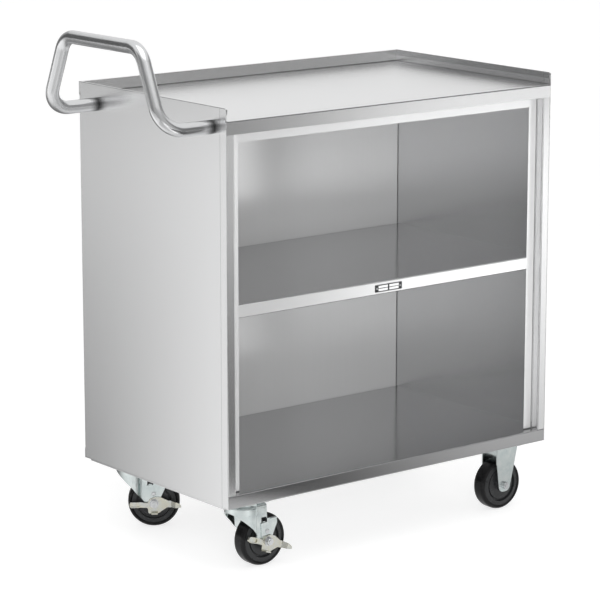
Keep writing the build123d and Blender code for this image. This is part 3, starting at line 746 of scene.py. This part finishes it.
def tube_tree():
    """Geometry tree: a line of points with bend radii becomes a smooth bent tube."""
    tree, taken, given = new_group("bent_tube", "GeometryNodeTree", {
        "Geometry": "Geometry", "Tube Radius": 0.0127, "Sides": 48, "Bend Steps": 20,
        "Material": "Material"}, {"Geometry": "Geometry"})
    line = first(tree, "GeometryNodeMeshToCurve", {"Mesh": taken["Geometry"]})
    bend = first(tree, "GeometryNodeInputNamedAttribute", {"Name": "bend"}, data_type="FLOAT")
    path = first(tree, "GeometryNodeFilletCurve", {
        "Curve": line, "Count": taken["Bend Steps"], "Radius": bend, "Limit Radius": False},
        mode="POLY")
    ring = first(tree, "GeometryNodeCurvePrimitiveCircle", {
        "Resolution": taken["Sides"], "Radius": taken["Tube Radius"]})
    tube = first(tree, "GeometryNodeCurveToMesh", {
        "Curve": path, "Profile Curve": ring, "Fill Caps": True})
    smooth = first(tree, "GeometryNodeSetShadeSmooth", {"Geometry": tube})
    return painted(tree, taken, given, smooth)


def hexagon_tree():
    """Geometry tree: a chamfered hexagon with a round shank at each point."""
    tree, taken, given = new_group("hexagon_fasteners", "GeometryNodeTree", {
        "Geometry": "Geometry", "Flats": 0.013, "Height": 0.0045, "Chamfer": 0.0006,
        "Shank Radius": 0.004, "Shank Length": 0.010, "Shank Start": 0.0,
        "Turn": (0.0, 0.0, 0.0), "Material": "Material"}, {"Geometry": "Geometry"})

    def lifted(mesh, height):
        """Mesh moved up by a height."""
        up = first(tree, "ShaderNodeCombineXYZ", {"Z": height})
        return first(tree, "GeometryNodeTransform", {"Geometry": mesh, "Translation": up})

    corner = calc(tree, "DIVIDE", taken["Flats"], math.sqrt(3))
    body = calc(tree, "SUBTRACT", taken["Height"], taken["Chamfer"])
    prism = add(tree, "GeometryNodeMeshCylinder", {
        "Vertices": 6, "Radius": corner, "Depth": body}).outputs
    top = add(tree, "GeometryNodeExtrudeMesh", {
        "Mesh": prism["Mesh"], "Selection": prism["Top"], "Offset Scale": taken["Chamfer"],
        "Individual": False}).outputs
    narrowed = calc(tree, "DIVIDE", calc(tree, "SUBTRACT", corner, taken["Chamfer"]), corner)
    head = first(tree, "GeometryNodeScaleElements", {
        "Geometry": top["Mesh"], "Selection": top["Top"], "Scale": narrowed})
    shank = add(tree, "GeometryNodeMeshCylinder", {
        "Vertices": 24, "Radius": taken["Shank Radius"], "Depth": taken["Shank Length"]}).outputs
    middle = calc(tree, "SUBTRACT", taken["Shank Start"],
                  calc(tree, "MULTIPLY", taken["Shank Length"], 0.5))
    stem = first(tree, "GeometryNodeSetShadeSmooth", {
        "Geometry": lifted(shank["Mesh"], middle), "Selection": shank["Side"]})
    whole = add(tree, "GeometryNodeJoinGeometry")
    for part in (lifted(head, calc(tree, "MULTIPLY", body, 0.5)), stem):
        tree.links.new(part, whole.inputs[0])
    return painted(tree, taken, given, first(tree, "GeometryNodeInstanceOnPoints", {
        "Points": taken["Geometry"], "Instance": whole.outputs[0], "Rotation": taken["Turn"]}))


def rivet_tree():
    """Geometry tree: a low round rivet head facing the front at each point."""
    tree, taken, given = new_group("round_rivets", "GeometryNodeTree", {
        "Geometry": "Geometry", "Radius": 0.002, "Rise": 0.0007, "Material": "Material"},
        {"Geometry": "Geometry"})
    ball = first(tree, "GeometryNodeMeshUVSphere", {
        "Segments": 24, "Rings": 12, "Radius": taken["Radius"]})
    flat = first(tree, "ShaderNodeCombineXYZ", {
        "X": 1.0, "Y": calc(tree, "DIVIDE", taken["Rise"], taken["Radius"]), "Z": 1.0})
    pressed = first(tree, "GeometryNodeTransform", {"Geometry": ball, "Scale": flat})
    smooth = first(tree, "GeometryNodeSetShadeSmooth", {"Geometry": pressed})
    return painted(tree, taken, given, first(tree, "GeometryNodeInstanceOnPoints", {
        "Points": taken["Geometry"], "Instance": smooth}))


# ---- operators

def finish_nodes(nodes, material):
    """Give CAD nodes a finish in every material slot."""
    for node in nodes:
        for slot in frame["nodes"][node].material_slots:
            slot.material = material


class CART_OT_sheet_body(Operator):
    """Brushed finish on the folded panels, deck and shelves"""
    bl_idname = "cart.sheet_body"
    bl_label = "Sheet Body"

    def execute(self, context):
        finish = context.scene.cart_sheet
        for name, look, nodes in (
                ("upright", ("Z", finish.tone, 1.0, finish.roughness),
                 ["left_side_panel", "right_side_panel"]),
                ("back", ("Z", finish.back_tone, finish.back_metal, finish.back_roughness),
                 ["back_panel"]),
                ("lengthwise", ("X", finish.tone, 1.0, finish.roughness),
                 ["top_deck", "shelf_stiffeners", "bottom_stiffener", "caster_channels"]),
                ("shelf", ("X", finish.shelf_tone, 1.0, finish.shelf_roughness),
                 ["middle_shelf", "bottom_shelf"])):
            finish_nodes(nodes, brushed_sheet(f"sheet_{name}_grain", finish, *look))
        return {"FINISHED"}


class CART_OT_handle(Operator):
    """Bent tube handle, with the plugs in its ends"""
    bl_idname = "cart.handle"
    bl_label = "Handle"

    def execute(self, context):
        shape = context.scene.cart_handle
        low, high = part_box("handle_tube")
        radius = shape.tube_radius
        y0, y1 = low.y + radius, high.y - radius
        out, foot, top = low.x + radius, low.z + radius, high.z - radius
        points = [(high.x, y0, foot), (out, y0, foot), (out, y0 + shape.riser_lean, top),
                  (out, y1 - shape.riser_lean, top), (out, y1, foot), (high.x, y1, foot)]
        line = plain_mesh("handle_line", points,
                          [(step, step + 1) for step in range(len(points) - 1)])
        bends = [0.0, shape.low_bend, shape.high_bend, shape.high_bend, shape.low_bend, 0.0]
        line.attributes.new("bend", "FLOAT", "POINT").data.foreach_set("value", bends)
        # The handle's colour darkens towards the panel: painted shade at the tube's ends.
        material = plated("handle_satin", shape.tone, opaque(shape.tone, gain=0.96),
                          shape.roughness, cloud_scale=14.0,
                          shaded_span=(high.x - shape.dark_end, high.x))
        mesh = by_nodes(tube_tree(), line, {
            "Tube Radius": radius, "Sides": shape.sides, "Bend Steps": shape.bend_steps,
            "Material": material})
        new_piece("handle_bent_tube", mesh, "cart", material, "handle_tube")
        finish_nodes(["handle_plugs"], material)
        return {"FINISHED"}


class CART_OT_fasteners(Operator):
    """Caster bolts and nuts, and the finish of all small turned hardware"""
    bl_idname = "cart.fasteners"
    bl_label = "Fasteners"

    def execute(self, context):
        sizes = context.scene.cart_fasteners
        material = plated("fastener_bright", sizes.tone, opaque(sizes.tone, gain=0.93),
                          sizes.roughness)
        tree = hexagon_tree()
        centres = [JOINTS[f"{caster}_swivel_turn"]["pos_m"] for caster in SWIVEL_CASTERS]
        centres += [JOINTS[f"{caster}_wheel_spin"]["pos_m"] for caster in RIGID_CASTERS]
        spots = [(x + along * sizes.spread_x / 2, y + over * sizes.spread_y / 2)
                 for x, y, _ in centres for along in (-1, 1) for over in (-1, 1)]
        bolt_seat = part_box("rigid_top_plates")[0].z
        bolt_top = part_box("caster_mount_bolts")[1].z
        nut_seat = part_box("caster_mount_nuts")[0].z
        bore_share = 0.99
        common = {"Flats": sizes.flats, "Chamfer": sizes.chamfer, "Material": material}
        for name, node, seat, own in (
                ("caster_bolt_set", "caster_mount_bolts", bolt_seat, {
                    "Height": sizes.head_height, "Shank Radius": sizes.bolt_radius,
                    "Shank Length": bolt_top - bolt_seat, "Turn": (math.pi, 0.0, 0.0)}),
                ("caster_nut_set", "caster_mount_nuts", nut_seat, {
                    "Height": sizes.nut_height, "Shank Radius": sizes.bolt_radius * bore_share,
                    "Shank Length": sizes.plug_depth, "Shank Start": sizes.plug_depth})):
            points = plain_mesh(name, [(x, y, seat) for x, y in spots])
            new_piece(name, by_nodes(tree, points, {**common, **own}), "cart",
                      material, node)
        finish_nodes(["handle_bolts", "handle_washers", "rigid_axle_bolts", "rigid_axle_nuts",
                      "rigid_axle_sleeves", "kingpins"], material)
        finish_nodes([f"{caster}_{part}" for caster in SWIVEL_CASTERS
                      for part in ("axle_bolt", "axle_nut", "axle_sleeve", "brake_rivet")],
                     material)
        return {"FINISHED"}


class CART_OT_name_plate(Operator):
    """Bare name plate with its border and two rivets"""
    bl_idname = "cart.name_plate"
    bl_label = "Name Plate"

    def execute(self, context):
        finish = context.scene.cart_plate
        sizes = context.scene.cart_fasteners
        low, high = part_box("name_plate")
        work = bmesh.new()
        corners = [(low.x, low.z), (high.x, low.z), (high.x, high.z), (low.x, high.z)]
        edge = rounded(corners, [finish.corner] * 4)
        front = work.faces.new([work.verts.new((x, low.y, z)) for x, z in edge])
        back = bmesh.ops.extrude_face_region(work, geom=[front])["geom"]
        bmesh.ops.translate(
            work, verts=[part for part in back if isinstance(part, bmesh.types.BMVert)],
            vec=(0, high.y - low.y, 0))
        front = min(work.faces, key=lambda face: face.calc_center_median().y)
        bmesh.ops.inset_region(work, faces=[front], thickness=finish.border)
        field = min(work.faces,
                    key=lambda face: (face.calc_center_median().y, -face.calc_area()))
        bmesh.ops.inset_region(work, faces=[field], thickness=finish.recess,
                               depth=-finish.recess)
        bmesh.ops.recalc_face_normals(work, faces=work.faces)
        new_piece("bare_name_plate", settled(work, "plate", in_order=True), "cart",
                  self.paint(finish, low, high), "name_plate")
        rivets = bpy.data.materials["fastener_bright"]
        spots = [(x, low.y, (low.z + high.z) / 2)
                 for x in (low.x + sizes.rivet_inset, high.x - sizes.rivet_inset)]
        heads = by_nodes(rivet_tree(), plain_mesh("rivets", spots), {
            "Radius": sizes.rivet_radius, "Rise": sizes.rivet_rise, "Material": rivets})
        new_piece("name_plate_rivet_heads", heads, "cart", rivets,
                  "name_plate_rivets")
        return {"FINISHED"}

    def paint(self, finish, low, high):
        """Dark painted border, bar and rule round two bare fields."""
        smooth, rough = 0.28, 0.42
        material, tree, shader = new_material("name_plate_paint")
        place = parts(tree, object_point(tree))
        border = 0.0
        for label, start, end, edge, middle in (
                ("X", low.x, high.x, finish.end, finish.bar),
                ("Z", low.z, high.z, finish.border, finish.rule)):
            away = calc(tree, "ABSOLUTE",
                        calc(tree, "SUBTRACT", place[label], (start + end) / 2))
            border = calc(tree, "MAXIMUM", border,
                          calc(tree, "GREATER_THAN", away, (end - start) / 2 - edge),
                          calc(tree, "LESS_THAN", away, middle / 2))
        grain = grain_along(tree, finish, "X")["Grain"]
        bright = tint(tree, grain, opaque(finish.bright, gain=0.9), opaque(finish.bright))
        feed(tree, shader, Base_Color=tint(tree, border, bright, opaque(finish.dark)),
             Roughness=between(tree, grain, smooth, rough))
        return material


class CART_OT_forks(Operator):
    """Caster forks, brake plates, top plates and thrust washers"""
    bl_idname = "cart.forks"
    bl_label = "Caster Forks"

    def execute(self, context):
        finish = context.scene.cart_casters
        zinc = plated("zinc_bright", finish.plate, opaque(finish.plate_cool), finish.roughness)
        for caster in SWIVEL_CASTERS:
            for part, edge in (("fork", finish.edge), ("brake_plate", finish.brake_plate_edge)):
                new_piece(f"{caster}_pressed_{part}", eased(f"{caster}_{part}", finish, edge),
                          f"{caster}_swivel", zinc, f"{caster}_{part}")
        new_piece("rigid_fork_pair", eased("rigid_forks", finish, finish.edge), "cart",
                  zinc, "rigid_forks")
        finish_nodes(["swivel_top_plates", "rigid_top_plates"], zinc)
        for caster in SWIVEL_CASTERS:
            washer = moulded(f"{caster}_washer_plastic", finish.washer_tone, roughness=0.4)
            finish_nodes([f"{caster}_thrust_washer"], washer)
        return {"FINISHED"}


class CART_OT_brakes(Operator):
    """Rocking brake levers"""
    bl_idname = "cart.brakes"
    bl_label = "Brake Levers"

    def execute(self, context):
        finish = context.scene.cart_casters
        warm = plated("zinc_warm", finish.lever, opaque(finish.lever_cool), finish.roughness,
                      cloud_scale=90.0)
        for caster in SWIVEL_CASTERS:
            new_piece(f"{caster}_pressed_lever",
                      eased(f"{caster}_brake_lever", finish, finish.edge), f"{caster}_brake",
                      warm, f"{caster}_brake_lever")
        return {"FINISHED"}


class CART_OT_wheels(Operator):
    """Four moulded wheels with their tyres"""
    bl_idname = "cart.wheels"
    bl_label = "Wheels"

    def execute(self, context):
        shape = context.scene.cart_wheels
        wheel_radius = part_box("right_front_tyre")[1].z / 2
        core_plastic = moulded("wheel_core_plastic", shape.core_tone, roughness=0.3,
                               speckle_depth=0.02 * MM, glare=0.4)
        rubber = moulded("tyre_rubber", shape.tyre_tone, roughness=0.2, spread=0.05, glare=0.28)
        small, edge = shape.rounding, shape.tyre_rounding
        core = [
            (shape.bore_radius, shape.hub_half), (shape.hub_radius, shape.hub_half),
            (shape.hub_radius, shape.disc_half), (shape.groove_inner, shape.disc_half),
            (shape.groove_inner, shape.groove_half), (shape.groove_outer, shape.groove_half),
            (shape.groove_outer, shape.rim_half), (shape.core_radius, shape.rim_edge_half)]
        core_radii = [small, small, small * 2, small, small, small, small, 0.0]
        tyre = [
            (shape.core_radius, shape.rim_edge_half),
            (shape.shoulder_radius, shape.shoulder_half),
            (shape.tread_edge, (shape.shoulder_half + shape.tread_half) / 2),
            (wheel_radius, shape.tread_half)]
        tyre_radii = [0.0, edge * 0.6, edge * 1.4, edge * 2]
        for caster in CASTERS:
            for part, slot, half, radii, steps, material in (
                    ("core", "wheel_core", core, core_radii, 3, core_plastic),
                    ("tyre", "tyre", tyre, tyre_radii, 5, rubber)):
                new_piece(f"{caster}_moulded_{part}",
                          wheel_part(half, radii, steps, shape.sides, caster),
                          f"{caster}_wheel", material, f"{caster}_{slot}")
        bearings = moulded("bearing_plastic", shape.bearing_tone, roughness=0.35)
        finish_nodes([f"{caster}_wheel_bearing" for caster in CASTERS], bearings)
        return {"FINISHED"}


def heading(bearing):
    """Level direction at a bearing in degrees from +X."""
    angle = math.radians(bearing)
    return Vector((math.cos(angle), math.sin(angle), 0.0))


class CART_OT_stage(Operator):
    """Pale floor, soft studio light and the camera"""
    bl_idname = "cart.stage"
    bl_label = "Stage"

    def execute(self, context):
        stage = context.scene.cart_stage
        context.scene.view_settings.view_transform = "Standard"
        self.floor(stage)
        self.sky(stage)
        for name, place, target, size, setting, mirrored in LAMPS:
            self.lamp(name, place, target, size, getattr(stage, setting), mirrored)
        for name, bearing, wide, foot, grey in WALLS:
            centre = heading(bearing) * WALL_DISTANCE + UP * (foot + WALL_HEIGHT / 2 + WALL_LIFT)
            self.card(name, centre, (0.0, bearing - 90.0), (wide, WALL_HEIGHT), (grey, grey),
                      (-1.0, 1.0), (1.0, 1.0))
        for name, bearing, start, off, wide, height, greys, fade, gains in FLOOR_CARDS:
            reach = FLOOR_CARD_END - start
            centre = (heading(bearing) * (start + reach / 2) + heading(bearing - 90.0) * off
                      + UP * height)
            self.card(name, centre, (-90.0, bearing - 90.0), (wide, reach), greys, fade, gains)
        camera = linked("camera", bpy.data.cameras.new("camera"))
        camera.data.lens = stage.lens
        camera.data.sensor_width = 36.0
        camera.location = CAMERA_PLACE
        camera.rotation_euler = (CAMERA_TILT, 0.0, CAMERA_HEADING)
        camera.data.dof.use_dof = False
        context.scene.camera = camera
        return {"FINISHED"}

    def floor(self, stage):
        """Pale floor that keeps the cart's shadow."""
        half = stage.floor_size / 2
        floor = rectangle("floor", (half, 0, 0), (0, half, 0))
        material, tree, shader = new_material("floor_paper")
        path = add(tree, "ShaderNodeLightPath").outputs
        mirrored = calc(tree, "MAXIMUM", path["Is Glossy Ray"], path["Is Transmission Ray"])
        seen = calc(tree, "MAXIMUM", path["Is Camera Ray"],
                    calc(tree, "MULTIPLY", mirrored, stage.mirrored_glow))
        feed(tree, shader, Roughness=0.9, Emission_Color=WHITE,
             Base_Color=tint(tree, seen, opaque(stage.floor_tone),
                             opaque(stage.floor_tone, gain=0.5)),
             Emission_Strength=calc(tree, "MULTIPLY", seen, stage.floor_glow))
        floor.data.materials.append(material)

    def sky(self, stage):
        """White to the camera and in reflections, softer as light."""
        world = bpy.data.worlds.new("studio")
        bpy.context.scene.world = world
        world.use_nodes = True
        tree = world.node_tree
        tree.nodes.clear()
        path = add(tree, "ShaderNodeLightPath").outputs
        seen = calc(tree, "MAXIMUM", path["Is Camera Ray"], path["Is Glossy Ray"],
                    path["Is Transmission Ray"])
        shade = add(tree, "ShaderNodeBackground", {
            "Color": WHITE, "Strength": between(tree, seen, stage.sky, 1.0)})
        add(tree, "ShaderNodeOutputWorld", {"Surface": shade.outputs[0]})

    def lamp(self, name, place, target, size, watts, mirrored):
        """Large soft lamp aimed at a point, which metal may reflect or not."""
        light = bpy.data.lights.new(name, "AREA")
        light.energy = watts
        light.size = size
        lamp = linked(name, light)
        lamp.location = place
        aim = Vector(target) - Vector(place)
        lamp.rotation_euler = aim.to_track_quat("-Z", "Y").to_euler()
        lamp.visible_camera = False
        lamp.visible_glossy = mirrored

    def card(self, name, centre, turns, size, greys, fade, gains):
        """Card that only reflections see, its grey changing across it and its gain along it."""
        wide, tall = size[0] / 2, size[1] / 2
        card = rectangle(name, (wide, 0, 0), (0, 0, tall))
        card.location = centre
        card.rotation_euler = (math.radians(turns[0]), 0.0, math.radians(turns[1]))
        material, tree, shader = new_material(name)
        place = parts(tree, object_point(tree))
        across = between(tree, place["X"], *greys, *fade, interpolation_type="SMOOTHSTEP")
        gain = between(tree, place["Z"], *gains, -tall, tall)
        feed(tree, shader, Base_Color=BLACK, Roughness=1.0, Specular_IOR_Level=0.0,
             Emission_Color=WHITE, Emission_Strength=calc(tree, "MULTIPLY", across, gain))
        card.data.materials.append(material)
        card.visible_camera = card.visible_diffuse = card.visible_shadow = False


OPERATORS = (CART_OT_sheet_body, CART_OT_handle, CART_OT_fasteners, CART_OT_name_plate,
             CART_OT_forks, CART_OT_brakes, CART_OT_wheels, CART_OT_stage)


class VIEW3D_PT_cart(Panel):
    """Steps that dress the cart, with their sizes and colours"""
    bl_label = "Utility Cart"
    bl_space_type = "VIEW_3D"
    bl_region_type = "UI"
    bl_category = "Cart"

    def draw(self, context):
        steps = self.layout.column(align=True)
        for operator in OPERATORS:
            steps.operator(operator.bl_idname, text=operator.bl_label)
        for name, group in GROUPS.items():
            section = self.layout.box()
            section.label(text=group.__doc__)
            for prop in group.__annotations__:
                section.prop(getattr(context.scene, name), prop,
                             text=prop.replace("_", " ").title())


CLASSES = (*GROUPS.values(), *OPERATORS, VIEW3D_PT_cart)


def register():
    """Add the classes and the scene's settings."""
    for item in CLASSES:
        bpy.utils.register_class(item)
    for name, group in GROUPS.items():
        setattr(bpy.types.Scene, name, PointerProperty(type=group))


def unregister():
    """Take the settings and the classes away again."""
    for name in GROUPS:
        delattr(bpy.types.Scene, name)
    for item in reversed(CLASSES):
        bpy.utils.unregister_class(item)


def main():
    """Dress the cart step by step."""
    register()
    for operator in OPERATORS:
        family, step = operator.bl_idname.split(".")
        getattr(getattr(bpy.ops, family), step)()


if __name__ == "__main__":
    main()
